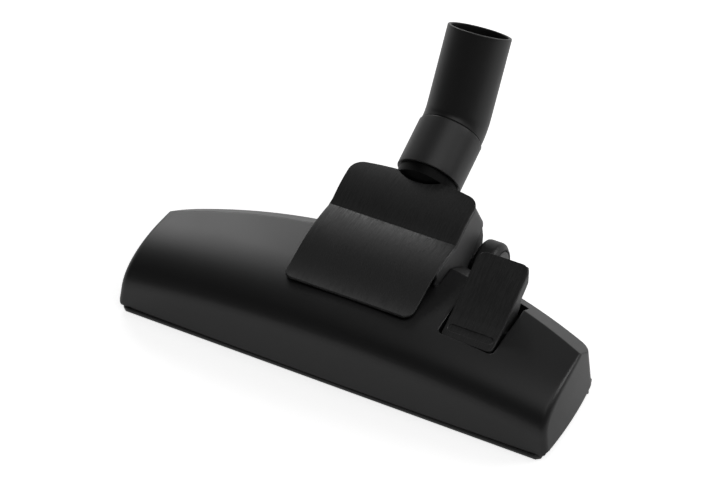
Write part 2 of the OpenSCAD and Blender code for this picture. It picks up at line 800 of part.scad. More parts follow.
// The brushed plate on the pedal, with a sunk grip near its front edge
module pedal_plate() {
    groove = [28, 4.4, 0.5];
    slope = atan2(6.4 - 4.4, pedal_pivot[0] - 16 - pedal_front);
    color("#2f2f32") difference() {
        intersection() {
            pedal_span(0) polygon(concat(pedal_top(0), flip(pedal_top(plate_t - 0.02))));
            linear_extrude(far) pedal_plan(0);
        }
        translate(concat([pedal_x], pedal_top(groove[2])[1])) rotate([slope, 0, 0])
            translate([-groove[0] / 2, -groove[1] / 2, 0]) linear_extrude(4)
                rounded([groove[0], groove[1]], groove[1] / 2 - 0.1);
    }
}

module pedal_pin() {
    color("#a8a8a8") translate([pedal_x, pedal_pivot[0], pedal_pivot[1]]) rotate([0, 90, 0])
        cylinder(r = pin_r, h = pocket_w + 2 * rim_t, center = true);
}

// A leaf spring that holds the pedal in either of its two places
module detent_spring() {
    foot = sole_t + duct_t;
    color("#9a9a9a") plate_x(pedal_x - 14, pedal_x - 9) translate([rear_strip_y - 2, foot])
        polygon([[0, 0], [4, 0], [4, 0.6], [0.8, 0.6], [-3.2, 15], [-1.2, 21], [-1.8, 21.2], [-4, 15]]);
}

module screw(length, head_r, head_h) {
    cylinder(r = head_r, h = head_h);
    cylinder(r = screw_r, h = length);
}

module shell_screws() {
    color("#8c8c8c") for (p = screw_places) translate([p[0], p[1], 0.2])
        screw(screw_l, screw_head_r, screw_head_h);
}

module cover_screws() {
    color("#8c8c8c") cover_boss_places() translate([0, 0, -screw_head_h - 0.05])
        screw(screw_head_h + 2.4, screw_head_r + 1, screw_head_h);
}

module housing_screws() {
    color("#8c8c8c") housing_screw_places() screw(housing_screw_l, housing_head_r, screw_head_h);
}

top_shell();
chassis();
sole_plate();
brush_carrier();
front_bristles();
rear_bristles();
front_lint_strip();
rear_lint_strip();
left_lift_spring();
right_lift_spring();
joint_housing();
joint_cover();
duct_seal();
tilt_neck();
left_bush();
right_bush();
snap_ring();
neck_seal();
collar();
elbow_tube();
left_wheel();
right_wheel();
left_axle();
right_axle();
left_hub_cap();
right_hub_cap();
pedal();
pedal_plate();
pedal_pin();
detent_spring();
shell_screws();
cover_screws();
housing_screws();
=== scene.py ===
"""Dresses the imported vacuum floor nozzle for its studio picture."""

import json
import math

import bmesh
import bpy
import numpy as np
from mathutils import Matrix, Vector


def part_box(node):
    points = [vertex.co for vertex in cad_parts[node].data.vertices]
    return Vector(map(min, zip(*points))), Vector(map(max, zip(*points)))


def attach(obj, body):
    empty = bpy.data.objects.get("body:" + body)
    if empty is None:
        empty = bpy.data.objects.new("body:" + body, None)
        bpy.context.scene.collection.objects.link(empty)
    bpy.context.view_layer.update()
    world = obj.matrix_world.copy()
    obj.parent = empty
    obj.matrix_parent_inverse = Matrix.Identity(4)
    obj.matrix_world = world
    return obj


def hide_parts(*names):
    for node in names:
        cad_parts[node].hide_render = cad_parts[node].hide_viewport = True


MM = 0.001
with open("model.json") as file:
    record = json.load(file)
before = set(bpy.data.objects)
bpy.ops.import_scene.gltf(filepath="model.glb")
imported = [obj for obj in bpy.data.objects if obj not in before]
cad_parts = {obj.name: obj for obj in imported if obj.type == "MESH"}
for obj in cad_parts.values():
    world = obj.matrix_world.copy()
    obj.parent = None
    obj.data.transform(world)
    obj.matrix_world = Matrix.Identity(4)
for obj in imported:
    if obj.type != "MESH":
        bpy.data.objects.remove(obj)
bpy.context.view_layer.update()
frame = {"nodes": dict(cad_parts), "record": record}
scene = bpy.context.scene

# Camera, from the photograph's perspective: degrees, and millimetres in the part's frame
CAMERA_AZIMUTH = 27.69
CAMERA_ELEVATION = 41.92
CAMERA_ROLL = 0.09
CAMERA_DISTANCE = 1727.84
CAMERA_TARGET = Vector((0.0, 40.0, 20.0))
FOCAL_PX = 3000.07
CENTRE_OFF_PX = (2.59, 76.09)
FRAME_W = 720
SENSOR_W = 36.0


def make_camera():
    azimuth, elevation = math.radians(CAMERA_AZIMUTH), math.radians(CAMERA_ELEVATION)
    back = Vector(
        (
            math.sin(azimuth) * math.cos(elevation),
            -math.cos(azimuth) * math.cos(elevation),
            math.sin(elevation),
        )
    )
    place = (CAMERA_TARGET + back * CAMERA_DISTANCE) * MM
    right = Vector((math.cos(azimuth), math.sin(azimuth), 0.0))
    right.rotate(Matrix.Rotation(math.radians(CAMERA_ROLL), 3, back))
    up = back.cross(right)
    aim = -back + right * (CENTRE_OFF_PX[0] / FOCAL_PX) + up * (CENTRE_OFF_PX[1] / FOCAL_PX)
    z_axis = -aim.normalized()
    x_axis = (right - z_axis * right.dot(z_axis)).normalized()
    y_axis = z_axis.cross(x_axis)
    data = bpy.data.cameras.new("camera")
    data.sensor_width = SENSOR_W
    data.lens = FOCAL_PX * SENSOR_W / FRAME_W
    data.clip_start, data.clip_end = 0.05, 30.0
    camera = bpy.data.objects.new("camera", data)
    scene.collection.objects.link(camera)
    turn = Matrix((x_axis, y_axis, z_axis)).transposed().to_4x4()
    camera.matrix_world = Matrix.Translation(place) @ turn
    scene.camera = camera


# Studio: a low glow behind and at the left, a dim ceiling, and three soft boxes
SKY_BASE, SKY_GLOW, SKY_TOP = 0.09, 0.45, 0.25
GLOW_WAY = (-0.5, 0.87, 0.0)
LAMP_AIM = (0.0, 0.05, 0.03)
LAMPS = {
    # name: place in metres, width, height, watts
    "back_box": ((-1.17, 1.49, 0.98), 1.1, 0.5, 9.0),
    "top_box": ((0.6, 0.0, 1.7), 1.3, 1.3, 4.5),
    "right_box": ((1.5, 1.3, 1.3), 0.8, 0.8, 11.0),
}


def link(tree, a, b):
    tree.links.new(a, b)


def make_lamps():
    for name, (place, width, height, watts) in LAMPS.items():
        data = bpy.data.lights.new(name, "AREA")
        data.shape = "RECTANGLE"
        data.size, data.size_y = width, height
        data.energy = watts
        lamp = bpy.data.objects.new(name, data)
        scene.collection.objects.link(lamp)
        lamp.location = place
        way = Vector(LAMP_AIM) - Vector(place)
        lamp.rotation_euler = way.to_track_quat("-Z", "Y").to_euler()


def make_world():
    world = bpy.data.worlds.new("studio")
    world.use_nodes = True
    scene.world = world
    tree = world.node_tree
    tree.nodes.clear()
    out = tree.nodes.new("ShaderNodeOutputWorld")
    shade = tree.nodes.new("ShaderNodeBackground")
    shade.inputs["Color"].default_value = (1, 1, 1, 1)
    coords = tree.nodes.new("ShaderNodeTexCoord")
    split = tree.nodes.new("ShaderNodeSeparateXYZ")
    link(tree, coords.outputs["Generated"], split.inputs[0])
    side = tree.nodes.new("ShaderNodeVectorMath")
    side.operation = "DOT_PRODUCT"
    side.inputs[1].default_value = GLOW_WAY
    link(tree, coords.outputs["Generated"], side.inputs[0])

    def ramp(source, low, high, start, end):
        node = tree.nodes.new("ShaderNodeMapRange")
        node.interpolation_type = "SMOOTHSTEP"
        node.inputs["From Min"].default_value = low
        node.inputs["From Max"].default_value = high
        node.inputs["To Min"].default_value = start
        node.inputs["To Max"].default_value = end
        link(tree, source, node.inputs["Value"])
        return node.outputs["Result"]

    def maths(kind, a, b):
        node = tree.nodes.new("ShaderNodeMath")
        node.operation = kind
        for i, source in enumerate((a, b)):
            if isinstance(source, float):
                node.inputs[i].default_value = source
            else:
                link(tree, source, node.inputs[i])
        return node.outputs[0]

    glow = maths(
        "MULTIPLY",
        ramp(split.outputs["Z"], 0.35, 0.72, SKY_GLOW, 0.0),
        ramp(side.outputs["Value"], 0.2, 0.95, 0.15, 1.0),
    )
    top = maths(
        "MULTIPLY",
        ramp(split.outputs["Z"], 0.7, 0.97, 0.0, SKY_TOP),
        ramp(split.outputs["X"], -0.45, 0.1, 0.0, 1.0),
    )
    total = maths("ADD", maths("ADD", glow, top), SKY_BASE)
    rays = tree.nodes.new("ShaderNodeLightPath")
    mix = tree.nodes.new("ShaderNodeMix")
    mix.data_type = "FLOAT"
    mix.inputs["B"].default_value = 1.0
    link(tree, total, mix.inputs["A"])
    link(tree, rays.outputs["Is Camera Ray"], mix.inputs["Factor"])
    link(tree, mix.outputs["Result"], shade.inputs["Strength"])
    link(tree, shade.outputs[0], out.inputs["Surface"])


# Floor: half its width and its drop in metres, its grey, and its light for camera and glossy rays
FLOOR_HALF, FLOOR_DROP, FLOOR_GREY = 3.0, 0.0002, 0.86
FLOOR_SEEN, FLOOR_GLOSSY = 0.72, 0.3


def make_floor():
    mesh = bpy.data.meshes.new("floor")
    turns = ((-1, -1), (1, -1), (1, 1), (-1, 1))
    corners = [(x * FLOOR_HALF, y * FLOOR_HALF, 0) for x, y in turns]
    mesh.from_pydata(corners, [], [(0, 1, 2, 3)])
    floor = bpy.data.objects.new("floor", mesh)
    floor.location.z = -FLOOR_DROP
    scene.collection.objects.link(floor)
    material = bpy.data.materials.new("floor_white")
    material.use_nodes = True
    tree = material.node_tree
    shade = tree.nodes["Principled BSDF"]
    shade.inputs["Base Color"].default_value = (*[FLOOR_GREY] * 3, 1)
    shade.inputs["Roughness"].default_value = 0.9
    shade.inputs["Specular IOR Level"].default_value = 0.0
    glow = tree.nodes.new("ShaderNodeEmission")
    add = tree.nodes.new("ShaderNodeAddShader")
    rays = tree.nodes.new("ShaderNodeLightPath")
    mirrored_part = tree.nodes.new("ShaderNodeMath")
    mirrored_part.operation = "MULTIPLY"
    mirrored_part.inputs[1].default_value = FLOOR_GLOSSY
    strength = tree.nodes.new("ShaderNodeMath")
    strength.operation = "MULTIPLY_ADD"
    strength.inputs[1].default_value = FLOOR_SEEN
    link(tree, rays.outputs["Is Glossy Ray"], mirrored_part.inputs[0])
    link(tree, rays.outputs["Is Camera Ray"], strength.inputs[0])
    link(tree, mirrored_part.outputs[0], strength.inputs[2])
    link(tree, strength.outputs[0], glow.inputs["Strength"])
    link(tree, shade.outputs[0], add.inputs[0])
    link(tree, glow.outputs[0], add.inputs[1])
    link(tree, add.outputs[0], tree.nodes["Material Output"].inputs["Surface"])
    mesh.materials.append(material)


# Materials: one moulded plastic with its own grain, gloss and tint for each slot
PLASTIC_IOR = 1.5
PATCH_SCALE, ROUGH_SWING, GRAIN_DEPTH = 28.0, 0.04, 0.00004
# Brushed plate: scale and squeeze of each layer of noise, and the shares of the second and third
SCRATCHES = ((1900.0, 0.075), (620.0, 0.05), (60.0, 1.0))
SCRATCH_SHARES = (0.35, 0.25)
SCRATCH_TURN, SCRATCH_DEPTH = 0.03, 0.00012
# The neck's gloss is cut low as painted shade, standing in for the shadow under the collar
NECK_SHADE_GLOSS = 0.12


def plastic(name, colour, roughness, grain=0.35, grain_mm=0.45, wear=0.15):
    material = bpy.data.materials.new(name)
    material.use_nodes = True
    tree = material.node_tree
    shade = tree.nodes["Principled BSDF"]
    shade.inputs["IOR"].default_value = PLASTIC_IOR
    coords = tree.nodes.new("ShaderNodeTexCoord")
    fine = tree.nodes.new("ShaderNodeTexNoise")
    fine.inputs["Scale"].default_value = 1000.0 / grain_mm / 2
    fine.inputs["Detail"].default_value = 3.0
    broad = tree.nodes.new("ShaderNodeTexNoise")
    broad.inputs["Scale"].default_value = PATCH_SCALE
    broad.inputs["Detail"].default_value = 4.0
    tint = tree.nodes.new("ShaderNodeMix")
    tint.data_type = "RGBA"
    tint.inputs["A"].default_value = (*[c * (1 - wear) for c in colour], 1)
    tint.inputs["B"].default_value = (*[c * (1 + wear) for c in colour], 1)
    rough = tree.nodes.new("ShaderNodeMapRange")
    rough.inputs["To Min"].default_value = roughness - ROUGH_SWING
    rough.inputs["To Max"].default_value = roughness + ROUGH_SWING
    bump = tree.nodes.new("ShaderNodeBump")
    bump.inputs["Strength"].default_value = grain
    bump.inputs["Distance"].default_value = GRAIN_DEPTH
    link(tree, coords.outputs["Object"], fine.inputs["Vector"])
    link(tree, coords.outputs["Object"], broad.inputs["Vector"])
    link(tree, broad.outputs["Fac"], tint.inputs["Factor"])
    link(tree, broad.outputs["Fac"], rough.inputs["Value"])
    link(tree, fine.outputs["Fac"], bump.inputs["Height"])
    link(tree, tint.outputs["Result"], shade.inputs["Base Color"])
    link(tree, rough.outputs["Result"], shade.inputs["Roughness"])
    link(tree, bump.outputs["Normal"], shade.inputs["Normal"])
    return material


def brushed(name, dark, light, roughness):
    """Black plate with short fine scratches that run from the front to the rear."""
    material = bpy.data.materials.new(name)
    material.use_nodes = True
    tree = material.node_tree
    shade = tree.nodes["Principled BSDF"]
    shade.inputs["IOR"].default_value = PLASTIC_IOR
    coords = tree.nodes.new("ShaderNodeTexCoord")
    layers = []
    for scale, stretch in SCRATCHES:
        squeeze = tree.nodes.new("ShaderNodeMapping")
        squeeze.inputs["Scale"].default_value = (1.0, stretch, stretch)
        squeeze.inputs["Rotation"].default_value = (0.0, 0.0, SCRATCH_TURN)
        noise = tree.nodes.new("ShaderNodeTexNoise")
        noise.inputs["Scale"].default_value = scale
        noise.inputs["Detail"].default_value = 2.0
        link(tree, coords.outputs["Object"], squeeze.inputs["Vector"])
        link(tree, squeeze.outputs[0], noise.inputs["Vector"])
        layers.append(noise.outputs["Fac"])
    total = layers[0]
    for layer, share in zip(layers[1:], SCRATCH_SHARES):
        mix = tree.nodes.new("ShaderNodeMix")
        mix.data_type = "FLOAT"
        mix.inputs["Factor"].default_value = share
        link(tree, total, mix.inputs["A"])
        link(tree, layer, mix.inputs["B"])
        total = mix.outputs["Result"]
    ramp = tree.nodes.new("ShaderNodeValToRGB")
    ramp.color_ramp.elements[0].position = 0.43
    ramp.color_ramp.elements[0].color = (*[dark] * 3, 1)
    ramp.color_ramp.elements[1].position = 0.6
    ramp.color_ramp.elements[1].color = (*[light] * 3, 1)
    rough = tree.nodes.new("ShaderNodeMapRange")
    rough.inputs["From Min"].default_value = 0.4
    rough.inputs["From Max"].default_value = 0.6
    rough.inputs["To Min"].default_value = roughness + 0.12
    rough.inputs["To Max"].default_value = roughness - 0.1
    bump = tree.nodes.new("ShaderNodeBump")
    bump.inputs["Strength"].default_value = 0.8
    bump.inputs["Distance"].default_value = SCRATCH_DEPTH
    link(tree, total, ramp.inputs[0])
    link(tree, total, rough.inputs["Value"])
    link(tree, total, bump.inputs["Height"])
    link(tree, ramp.outputs["Color"], shade.inputs["Base Color"])
    link(tree, rough.outputs["Result"], shade.inputs["Roughness"])
    link(tree, bump.outputs["Normal"], shade.inputs["Normal"])
    return material


def metal(name, colour, roughness):
    material = plastic(name, colour, roughness, 0.2, 0.3, 0.05)
    material.node_tree.nodes["Principled BSDF"].inputs["Metallic"].default_value = 1.0
    return material


def velvet(name, colour):
    material = plastic(name, colour, 0.9, 1.0, 0.5, 0.35)
    shade = material.node_tree.nodes["Principled BSDF"]
    shade.inputs["Sheen Weight"].default_value = 0.5
    shade.inputs["Sheen Roughness"].default_value = 0.4
    return material


MATERIALS = {
    "shell": plastic("shell_black", (0.0042, 0.0042, 0.0044), 0.4),
    "chassis": plastic("chassis_black", (0.008, 0.008, 0.0082), 0.5),
    "sole": plastic("sole_black", (0.01, 0.01, 0.0102), 0.42),
    "bristles": plastic("bristle_black", (0.01, 0.01, 0.01), 0.6, 1.0, 0.25),
    "lint_strip": velvet("lint_red", (0.16, 0.012, 0.014)),
    "steel": metal("steel", (0.55, 0.55, 0.55), 0.3),
    "housing": plastic("housing_dark", (0.04, 0.04, 0.0405), 0.5),
    "brushed_cover": brushed("brushed_black", 0.0005, 0.02, 0.4),
    "seal": plastic("seal_rubber", (0.006, 0.006, 0.006), 0.7),
    # The neck's near-black colour is painted shade, for the shadow under the collar
    "neck": plastic("neck_painted_shade", (0.0015, 0.0015, 0.0016), 0.5),
    "bush": plastic("acetal", (0.55, 0.53, 0.47), 0.35),
    "collar": plastic("collar_black", (0.022, 0.022, 0.0222), 0.42),
    "tube": plastic("tube_black", (0.004, 0.004, 0.0041), 0.4, 0.2),
    "wheel": plastic("wheel_black", (0.006, 0.006, 0.006), 0.45),
    "hub_cap": plastic("cap_grey", (0.012, 0.012, 0.0122), 0.4),
    "pedal": plastic("pedal_black", (0.0042, 0.0042, 0.0044), 0.42),
    "screw": metal("screw_zinc", (0.09, 0.09, 0.09), 0.4),
}
# Low gloss on the neck is painted shade: it keeps the neck dark and without reflection under the collar
neck_shade = MATERIALS["neck"].node_tree.nodes["Principled BSDF"]
neck_shade.inputs["Specular IOR Level"].default_value = NECK_SHADE_GLOSS


def dress_nodes():
    slots = {s["node"]: s["material_slot"] for s in frame["record"]["subparts"]}
    for name, node in frame["nodes"].items():
        node.data.materials.clear()
        node.data.materials.append(MATERIALS[slots[name]])


# Sizes of the part in millimetres, nearly all as its source has them
HEAD_W, HEAD_D, CREST = 273.0, 94.5, 46.5
CROWN_R, REAR_R = 830.0, 417.0
CHAMFER = math.radians(32.7)
CHAMFER_Y, SHELL_Z = HEAD_D - 16.1, 3.0
SOLID_END_R, SOLID_END_Y, SOLID_DRAFT = 400.0, 32.0, math.radians(4.9)
# The shell's ends as the picture shows them, more bowed and leaning further in than the solid's
END_R, END_Y, END_CORNER, END_DRAFT = 300.0, 28.0, 8.0, math.radians(8.6)
LEAN = math.tan(END_DRAFT) - math.tan(SOLID_DRAFT)
LEAN_START, LEAN_SPAN = 98, 28
# Depth of the shell's inner face under its outer one, and the depths between which it is looked for
WALL, WALL_SHALLOW, WALL_DEEP = 1.7, 1.2, 3.5
RECESS_HALF, RECESS_Y, RECESS_R = 41.4, 57.0, 6.0
PEDAL_X, PEDAL_HALF, PEDAL_GAP = 74.7, 16.0, 1.2
PEDAL_FRONT, PEDAL_BACK, PEDAL_Y, PEDAL_Z = 27.3, 77.9, 50.0, 36.0
POCKET_FRONT, POCKET_BACK, POCKET_FLOOR, POCKET_R = 26.5, 9.5, 28.6, 3.0
PIVOT = np.array((0.0, 98.0, 36.0))
COVER_HALF, COVER_T, COVER_FRONT, COVER_BACK = 41.0, 1.6, 25.0, 118.5
COVER_BACK_R, COVER_R, COVER_REAR_R = 178.0, 6.0, 9.0
FOLD = (83.4, 56.8)
NOTCH_R, NOTCH_Y = 22.0, 112.7
NECK_SLOPE = math.radians(25.3)
NECK_AXIS = np.array((0.0, math.cos(NECK_SLOPE), math.sin(NECK_SLOPE)))
NECK_UP = np.array((0.0, -math.sin(NECK_SLOPE), math.cos(NECK_SLOPE)))
COLLAR_BASE = PIVOT + 37.9 * NECK_AXIS + 6.3 * NECK_UP
BEND, BEND_R, BEND_START, TUBE_L = math.radians(33.3), 24.0, 32.8, 48.6
TUBE_R, SOCKET_R, SOCKET_DEPTH = 19.65, 17.55, 42.0
WHEEL_R, WHEEL_W, WHEEL_X, WHEEL_Y = 18.0, 13.5, 41.7, 113.5
CAP_R, CAP_T = 13.6, 1.4


# Curves in a plane
def bezier(a, b, c, d, steps):
    t = np.linspace(0, 1, steps + 1)[:, None]
    a, b, c, d = (np.array(p, float) for p in (a, b, c, d))
    return (1 - t) ** 3 * a + 3 * (1 - t) ** 2 * t * b + 3 * (1 - t) * t * t * c + t**3 * d


def arc(centre, radius, start, end, steps):
    turn = np.radians(np.linspace(start, end, steps + 1))
    return np.array(centre) + radius * np.stack((np.cos(turn), np.sin(turn)), 1)


def round_corners(points, radii, steps=5):
    """A closed outline with an arc at each corner that has a radius."""
    points = np.array(points, float)
    out = []
    for i, (point, radius) in enumerate(zip(points, radii)):
        if not radius:
            out.append(point)
            continue
        before, after = points[i - 1] - point, points[(i + 1) % len(points)] - point
        room = 0.49 * min(np.linalg.norm(before), np.linalg.norm(after))
        before, after = before / np.linalg.norm(before), after / np.linalg.norm(after)
        half = math.acos(np.clip(before @ after, -1, 1)) / 2
        back = min(radius / math.tan(half), room)
        for t in np.linspace(0, 1, steps + 1):
            a, b = point + before * back, point + after * back
            out.append((1 - t) ** 2 * a + 2 * t * (1 - t) * point + t * t * b)
    return np.array(out)


# Signed distances, in millimetres, negative inside
CHUNK = 20000
TINY = 1e-12


def outline(points, x, y):
    a = np.asarray(points, float)
    b = np.roll(a, -1, 0)
    way = b - a
    square = np.maximum((way * way).sum(1), TINY)
    out = np.empty(len(x))
    for i in range(0, len(x), CHUNK):
        px, py = x[i : i + CHUNK, None], y[i : i + CHUNK, None]
        rx, ry = px - a[:, 0], py - a[:, 1]
        t = np.clip((rx * way[:, 0] + ry * way[:, 1]) / square, 0, 1)
        near = ((rx - t * way[:, 0]) ** 2 + (ry - t * way[:, 1]) ** 2).min(1)
        spans = (a[:, 1] > py) != (b[:, 1] > py)
        hit = rx < way[:, 0] * ry / np.where(way[:, 1] == 0, TINY, way[:, 1])
        inside = (spans & hit).sum(1) % 2 == 1
        out[i : i + CHUNK] = np.where(inside, -1, 1) * np.sqrt(near)
    return out


def rounded_box(x, y, centre, half, r):
    qx, qy = abs(x - centre[0]) - half[0] + r, abs(y - centre[1]) - half[1] + r
    return np.hypot(np.maximum(qx, 0), np.maximum(qy, 0)) + np.minimum(np.maximum(qx, qy), 0) - r


def both(a, b, r):
    """What two solids share, with the edge between them rounded."""
    return np.minimum(-r, np.maximum(a, b)) + np.hypot(np.maximum(a + r, 0), np.maximum(b + r, 0))


HEAD_SECTION = np.concatenate(
    (
        [(0.0, -60.0), (0.0, SHELL_Z)],
        bezier((1.9, 26.0), (2.8, 40.0), (16.0, CREST), (46.0, CREST), 44),
        [(150.0, CREST), (150.0, -60.0)],
    )
)


def head_faces(x, y, z, end_r, end_y, draft):
    """Distances from the front and crest, the ends, the chamfer and the rear of the head."""
    level = np.hypot(x, z + CROWN_R - CREST) - CROWN_R + CREST
    side = np.abs(x) - HEAD_W / 2 + end_r
    end = np.hypot(side * math.cos(draft) + (z - SHELL_Z) * math.sin(draft), y - end_y) - end_r
    reach = CHAMFER_Y * math.sin(CHAMFER) + CREST * math.cos(CHAMFER)
    along = y * math.sin(CHAMFER) + z * math.cos(CHAMFER) - reach + REAR_R
    chamfer = np.hypot(x, along) - REAR_R
    rear = np.hypot(x, y - HEAD_D + REAR_R) - REAR_R
    return outline(HEAD_SECTION, y, level), end, chamfer, rear


def plain_head(p):
    """The head's outer form as the source has it."""
    x, y, z = p.T
    faces = head_faces(x, y, z, SOLID_END_R, SOLID_END_Y, SOLID_DRAFT)
    return np.max((*faces, SHELL_Z - z), 0)


def head_field(p):
    """The head's outer form with its ends leaning in and its edges rounded."""
    x, y, z = p.T
    crest, end, chamfer, rear = head_faces(x, y, z, END_R, END_Y, END_DRAFT)
    corner_r = 2.2 + 1.2 * np.clip((40 - y) / 30, -1, 1)
    found = both(crest, both(end, rear, END_CORNER), corner_r)
    found = both(found, chamfer, 0.3)
    found = both(found, rear, 0.6)
    return both(found, SHELL_Z - z, 0.35)


def lean_in(p):
    """Shifts the ends of the shell inwards before they are settled."""
    x, y, z = p.T
    share = np.clip((np.abs(x) - LEAN_START) / LEAN_SPAN, 0, 1)
    bow = (y - END_Y) ** 2 / (2 * END_R) - (y - SOLID_END_Y) ** 2 / (2 * SOLID_END_R)
    move = (LEAN * np.maximum(z - SHELL_Z, 0) + np.maximum(bow, 0)) * share * share * (3 - 2 * share)
    return np.stack((x - np.sign(x) * move, y, z), 1)


def pocket_field(x, y, z):
    half = PEDAL_HALF + PEDAL_GAP
    box = rounded_box(x, y, (PEDAL_X, POCKET_FRONT + HEAD_D / 2), (half, HEAD_D / 2), POCKET_R)
    plan = both(box, np.hypot(x, y - HEAD_D + REAR_R) - REAR_R + POCKET_BACK, 0.6)
    return np.maximum(plan, POCKET_FLOOR - z)


def shell_field(p):
    x, y, z = p.T
    recess = rounded_box(x, y, (0.0, RECESS_Y + HEAD_D / 2), (RECESS_HALF, HEAD_D / 2), RECESS_R)
    found = both(head_field(p), -recess, 0.5)
    return both(found, -pocket_field(x, y, z), 0.6)


EASE_STEP, EASE_ROOM = 0.05, 3


def eased(line, width):
    """A line's height over y, softened over a short width."""
    y = np.arange(line[0, 0] - EASE_ROOM, line[-1, 0] + EASE_ROOM, EASE_STEP)
    slope_a = (line[1, 1] - line[0, 1]) / (line[1, 0] - line[0, 0])
    slope_b = (line[-1, 1] - line[-2, 1]) / (line[-1, 0] - line[-2, 0])
    z = np.interp(y, line[:, 0], line[:, 1])
    z = np.where(y < line[0, 0], line[0, 1] + slope_a * (y - line[0, 0]), z)
    z = np.where(y > line[-1, 0], line[-1, 1] + slope_b * (y - line[-1, 0]), z)
    n = max(1, int(width / EASE_STEP))
    wide = np.concatenate((np.full(n, z[0]), z, np.full(n, z[-1])))
    kernel = np.hanning(2 * n + 3)[1:-1]
    return y, np.convolve(wide, kernel / kernel.sum(), "valid")[: len(y)]


def sheet_field(line, thickness, y, z, r):
    """A bent plate under a line: signed distance from its two faces."""
    height = np.interp(y, line[0], line[1])
    slope = np.interp(y, line[0], np.gradient(line[1], line[0]))
    top = (z - height) / np.sqrt(1 + slope**2)
    return both(top, -top - thickness, r)


COVER_LINE = eased(
    np.concatenate(
        (
            bezier((COVER_FRONT, 47.0), (COVER_FRONT + 20, 48.5), (FOLD[0] - 33.4, FOLD[1] + 1.9), FOLD, 60),
            bezier(
                (FOLD[0] + 0.5, FOLD[1] + 0.3),
                (FOLD[0] + 6.6, FOLD[1] + 2.7),
                (COVER_BACK - 20.5, 66.7),
                (COVER_BACK, 68.0),
                60,
            ),
        )
    ),
    0.35,
)


def mirrored(half):
    half = np.asarray(half)
    return np.concatenate((half, half[::-1] * (-1, 1)))


def cover_plan(grow=0.0):
    front = (COVER_HALF - COVER_R, COVER_FRONT + COVER_R)
    bow = np.array((0.0, COVER_BACK - COVER_BACK_R))
    turn = math.degrees(math.asin((COVER_HALF - COVER_REAR_R) / (COVER_BACK_R - COVER_REAR_R)))
    rear = arc(bow, COVER_BACK_R - COVER_REAR_R, 90 - turn, 90 - turn, 0)[0]
    return mirrored(
        np.concatenate(
            (
                arc(front, COVER_R + grow, -90, 0, 14),
                arc(rear, COVER_REAR_R + grow, 0, 90 - turn, 16),
                arc(bow, COVER_BACK_R + grow, 90 - turn, 90, 10)[1:-1],
            )
        )
    )


COVER_PLAN = cover_plan()
# The neck with its free room, as distances along its axis and radii
NECK_ROOM = [
    (-50, -20), (-50, 14.8), (-10.8, 14.8), (-6.8, 19.3),
    (-0.8, 19.3), (-0.8, 14.8), (50, 14.8), (50, -20),
]


def neck_room(p):
    rel = p - COLLAR_BASE
    along = rel @ NECK_AXIS
    return outline(NECK_ROOM, along, np.linalg.norm(rel - along[:, None] * NECK_AXIS, axis=1))


def cover_field(p):
    x, y, z = p.T
    found = both(sheet_field(COVER_LINE, COVER_T, y, z, 0.35), outline(COVER_PLAN, x, y), 0.35)
    found = both(found, NOTCH_R - np.hypot(x, y - NOTCH_Y - NOTCH_R), 0.35)
    return both(found, -neck_room(p), 0.3)


PEDAL_TOP = np.array(
    [(PEDAL_FRONT - PEDAL_Y, 4.4), (-16, 6.4), (-8, 9.5), (0, 13.8), (PEDAL_BACK - PEDAL_Y, 29.5)]
)
PEDAL_TOP = PEDAL_TOP + (PEDAL_Y, PEDAL_Z)
PEDAL_LINE = eased(PEDAL_TOP, 2.0)
PLATE_T = 1.0
GRIP_HALF, GRIP_WIDE, GRIP_DEEP = 14.0, 2.2, 0.5


def pedal_plan(longer=0.0):
    half = PEDAL_HALF
    return mirrored(
        np.concatenate(
            (
                arc((half - 3, PEDAL_FRONT + 3), 3, -90, 0, 8),
                arc((half - 5, PEDAL_BACK + longer - 5), 5, 0, 90, 12),
            )
        )
    ) + (PEDAL_X, 0)


PEDAL_PLAN = pedal_plan()


def plate_field(p):
    x, y, z = p.T
    found = both(sheet_field(PEDAL_LINE, PLATE_T, y, z, 0.3), outline(PEDAL_PLAN, x, y), 0.4)
    grip = rounded_box(x, y, (PEDAL_X, PEDAL_TOP[1, 0]), (GRIP_HALF, GRIP_WIDE), GRIP_WIDE)
    deep = np.interp(y, *PEDAL_LINE) - GRIP_DEEP - z
    return both(found, -both(grip, deep, 0.25), 0.12)


TETRA = np.array(((1, -1, -1), (-1, -1, 1), (-1, 1, -1), (1, 1, 1)), float)
PROBE = 0.04
SETTLE_ROUNDS, LEAST_SLOPE = 4, 0.2


def slope_of(field, p):
    return sum(k * field(p + PROBE * k)[:, None] for k in TETRA) / (4 * PROBE)


def settle(field, p):
    """Moves points onto a form."""
    for _ in range(SETTLE_ROUNDS):
        slope = slope_of(field, p)
        p = p - (field(p) / np.maximum((slope**2).sum(1), LEAST_SLOPE))[:, None] * slope
    return p


def fill(name, mesh_or_data, body, slot, replaces=()):
    piece = bpy.data.objects.new(name, mesh_or_data)
    scene.collection.objects.link(piece)
    mesh_or_data.polygons.foreach_set("use_smooth", [True] * len(mesh_or_data.polygons))
    mesh_or_data.materials.clear()
    mesh_or_data.materials.append(MATERIALS[slot])
    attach(piece, body)
    if replaces:
        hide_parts(*replaces)
    return piece


def prism(points, heights, shifts):
    """A closed block from one outline, moved along Y at each height."""
    mesh = bpy.data.meshes.new("prism")
    verts = [(x * MM, (y + shift) * MM, z * MM) for z, shift in zip(heights, shifts) for x, y in points]
    n, m = len(points), len(heights)
    faces = [
        (k * n + i, k * n + (i + 1) % n, (k + 1) * n + (i + 1) % n, (k + 1) * n + i)
        for k in range(m - 1)
        for i in range(n)
    ]
    faces += [tuple(range(n - 1, -1, -1)), tuple(range((m - 1) * n, m * n))]
    mesh.from_pydata(verts, [], faces)
    return mesh


